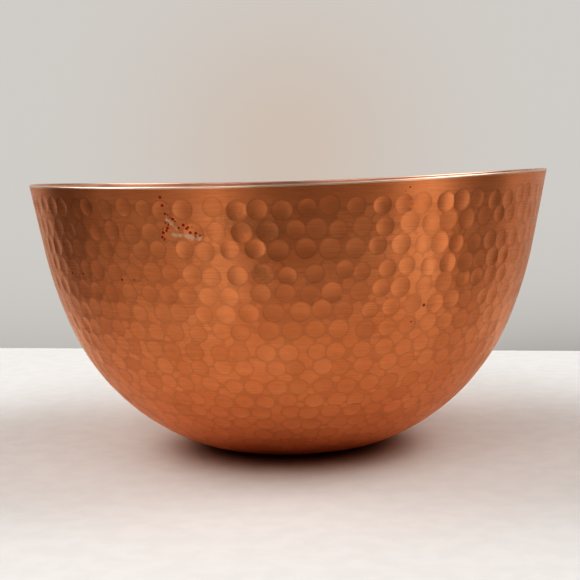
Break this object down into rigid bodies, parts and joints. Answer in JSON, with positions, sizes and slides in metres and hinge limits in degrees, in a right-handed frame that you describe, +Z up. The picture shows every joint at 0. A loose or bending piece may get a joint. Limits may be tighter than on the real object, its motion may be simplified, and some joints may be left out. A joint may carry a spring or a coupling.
{
  "type": "bowl",
  "caption": "Deep round bowl of hammered copper sheet, with a flattened foot and a plain rounded rim, open at the top for mixing, serving or display.",
  "frame": {"origin": "centre of the flattened foot's underside, on the surface that the bowl stands on", "axes": "+Z up out of the bowl's mouth, +X towards the rim's slightly higher side, -Y towards the viewer"},
  "size_m": [0.254, 0.254, 0.1333],
  "materials": {
    "copper": "satin copper, brushed around the bowl and hammered outside, smoother and brighter inside, rim edge polished"
  },
  "bodies": {
    "root": {"bowl_shell": "copper"}
  },
  "joints": []
}
